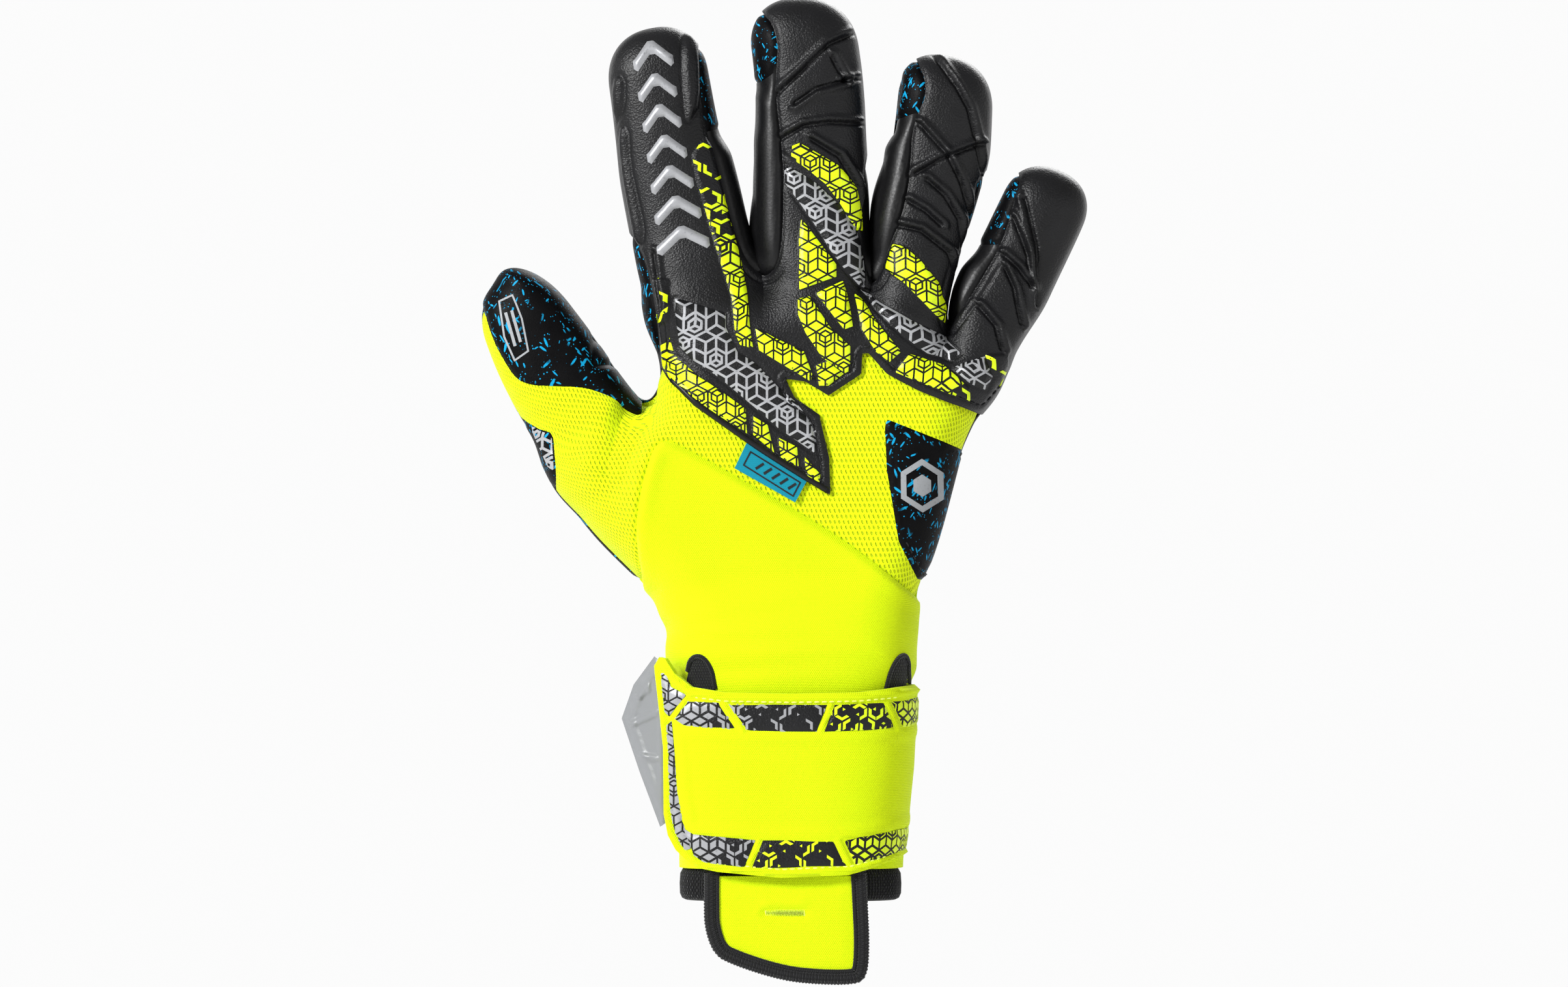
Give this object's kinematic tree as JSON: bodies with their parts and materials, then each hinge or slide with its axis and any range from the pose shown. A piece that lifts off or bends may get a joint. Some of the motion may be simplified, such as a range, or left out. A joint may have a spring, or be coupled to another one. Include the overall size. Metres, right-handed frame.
{
  "type": "goalkeeper glove",
  "caption": "Padded right-hand glove with jointed finger stalls, latex palm, embossed knuckle panel, knit back and a hook-and-loop wrist strap with pull tabs.",
  "frame": {"origin": "centre of the wrist opening, in the plane of the inner cuff's lower edge", "axes": "+Z from the wrist to the fingertips, -Y out of the back of the hand, +Y out of the palm, -X to the thumb side"},
  "size_m": [0.1827, 0.0592, 0.3005],
  "materials": {
    "latex": "matte foam latex with blue speckles",
    "embossed_panel": "matte embossed coated fabric",
    "air_mesh": "open knit mesh",
    "neoprene": "fine knit faced neoprene",
    "yellow_print": "raised print",
    "silver_print": "raised print",
    "silicone": "satin moulded silicone",
    "elastic": "ribbed elastic",
    "lining": "brushed knit",
    "foam": "soft foam",
    "binding": "folded tape",
    "hook_and_loop": "hook and loop tape",
    "label": "woven"
  },
  "bodies": {
    "cuff": {"cuff_back": "neoprene", "cuff_palm": "neoprene", "cuff_sides": "neoprene", "inner_elastic": "elastic", "cuff_vents": "elastic", "loop_patch": "hook_and_loop", "strap_anchor": "neoprene", "wrist_gaiter": "neoprene"},
    "hand": {"knit_back": "air_mesh", "neoprene_back": "neoprene", "side_walls": "air_mesh", "palm_latex": "latex", "palm_heel": "neoprene", "hand_lining": "lining", "knuckle_foam": "foam", "knuckle_panel": "embossed_panel", "yellow_pads": "yellow_print", "silver_pads": "silver_print", "outer_patch": "latex", "outer_patch_badge": "silver_print", "thumb_patch": "latex"},
    "strap": {"strap_band": "neoprene", "strap_trims": "embossed_panel", "hook_patch": "hook_and_loop"},
    "grip_tab_body": {"grip_tab": "silicone"},
    "pull_tab_body": {"pull_tab": "neoprene", "pull_tab_binding": "binding"},
    "label_body": {"label": "label"},
    "index_proximal": {"index_back_lower": "embossed_panel", "index_grip_lower": "latex", "index_gussets_lower": "embossed_panel", "index_bars_lower": "silver_print"},
    "index_distal": {"index_back_upper": "embossed_panel", "index_grip_upper": "latex", "index_gussets_upper": "embossed_panel", "index_bars_upper": "silver_print"},
    "middle_proximal": {"middle_back_lower": "embossed_panel", "middle_grip_lower": "latex", "middle_gussets_lower": "embossed_panel"},
    "middle_distal": {"middle_back_upper": "embossed_panel", "middle_grip_upper": "latex", "middle_gussets_upper": "embossed_panel"},
    "ring_proximal": {"ring_back_lower": "embossed_panel", "ring_grip_lower": "latex", "ring_gussets_lower": "embossed_panel"},
    "ring_distal": {"ring_back_upper": "embossed_panel", "ring_grip_upper": "latex", "ring_gussets_upper": "embossed_panel"},
    "little_proximal": {"little_back_lower": "embossed_panel", "little_grip_lower": "latex", "little_gussets_lower": "embossed_panel"},
    "little_distal": {"little_back_upper": "embossed_panel", "little_grip_upper": "latex", "little_gussets_upper": "embossed_panel"},
    "thumb_proximal": {"thumb_back_lower": "air_mesh", "thumb_grip_lower": "latex", "thumb_gussets_lower": "air_mesh"},
    "thumb_distal": {"thumb_back_upper": "latex", "thumb_grip_upper": "latex", "thumb_gussets_upper": "latex"}
  },
  "joints": [
    {"name": "wrist_flex", "type": "hinge", "parent": "cuff", "child": "hand", "pos_m": [0, 0, 0.076], "axis": [-1, 0, 0], "range_deg": [-25, 25], "stiffness_Nm_per_rad": 0.4, "deforming": ["wrist_gaiter"]},
    {"name": "index_knuckle", "type": "hinge", "parent": "hand", "child": "index_proximal", "pos_m": [-0.029, 0.005, 0.194], "axis": [-0.9799, 0, -0.1994], "range_deg": [-10, 60], "stiffness_Nm_per_rad": 0.1},
    {"name": "index_middle_joint", "type": "hinge", "parent": "index_proximal", "child": "index_distal", "pos_m": [-0.03438, 0.005, 0.22046], "axis": [-0.9799, 0, -0.1994], "range_deg": [0, 70], "stiffness_Nm_per_rad": 0.06},
    {"name": "middle_knuckle", "type": "hinge", "parent": "hand", "child": "middle_proximal", "pos_m": [0.0063, 0.005, 0.1935], "axis": [-0.9998, 0, -0.0175], "range_deg": [-10, 60], "stiffness_Nm_per_rad": 0.1},
    {"name": "middle_middle_joint", "type": "hinge", "parent": "middle_proximal", "child": "middle_distal", "pos_m": [0.00579, 0.005, 0.2225], "axis": [-0.9998, 0, -0.0175], "range_deg": [0, 70], "stiffness_Nm_per_rad": 0.06},
    {"name": "ring_knuckle", "type": "hinge", "parent": "hand", "child": "ring_proximal", "pos_m": [0.0387, 0.005, 0.1902], "axis": [-0.9863, 0, 0.165], "range_deg": [-10, 60], "stiffness_Nm_per_rad": 0.1},
    {"name": "ring_middle_joint", "type": "hinge", "parent": "ring_proximal", "child": "ring_distal", "pos_m": [0.04299, 0.005, 0.21584], "axis": [-0.9863, 0, 0.165], "range_deg": [0, 70], "stiffness_Nm_per_rad": 0.06},
    {"name": "little_knuckle", "type": "hinge", "parent": "hand", "child": "little_proximal", "pos_m": [0.0614, 0.005, 0.1729], "axis": [-0.9171, 0, 0.3987], "range_deg": [-10, 60], "stiffness_Nm_per_rad": 0.1},
    {"name": "little_middle_joint", "type": "hinge", "parent": "little_proximal", "child": "little_distal", "pos_m": [0.06977, 0.005, 0.19216], "axis": [-0.9171, 0, 0.3987], "range_deg": [0, 70], "stiffness_Nm_per_rad": 0.06},
    {"name": "thumb_knuckle", "type": "hinge", "parent": "hand", "child": "thumb_proximal", "pos_m": [-0.0615, 0.005, 0.1457], "axis": [-0.9033, 0, -0.4289], "range_deg": [-10, 40], "stiffness_Nm_per_rad": 0.1},
    {"name": "thumb_middle_joint", "type": "hinge", "parent": "thumb_proximal", "child": "thumb_distal", "pos_m": [-0.07008, 0.005, 0.16377], "axis": [-0.9033, 0, -0.4289], "range_deg": [0, 55], "stiffness_Nm_per_rad": 0.06},
    {"name": "strap_open", "type": "hinge", "parent": "cuff", "child": "strap", "pos_m": [0.0405, -0.0285, 0.037], "axis": [0, 0, 1], "range_deg": [0, 130]},
    {"name": "grip_tab_flex", "type": "hinge", "parent": "strap", "child": "grip_tab_body", "pos_m": [-0.041, -0.0231, 0.047], "axis": [0, 0, 1], "range_deg": [-10, 45], "stiffness_Nm_per_rad": 0.01},
    {"name": "pull_tab_fold", "type": "hinge", "parent": "cuff", "child": "pull_tab_body", "pos_m": [0, -0.0252, 0.006], "axis": [-1, 0, 0], "range_deg": [0, 75], "stiffness_Nm_per_rad": 0.01},
    {"name": "label_flip", "type": "hinge", "parent": "hand", "child": "label_body", "pos_m": [-0.0053, -0.01955, 0.1322], "axis": [-0.8505, 0, 0.5261], "range_deg": [0, 70], "stiffness_Nm_per_rad": 0.0005}
  ]
}
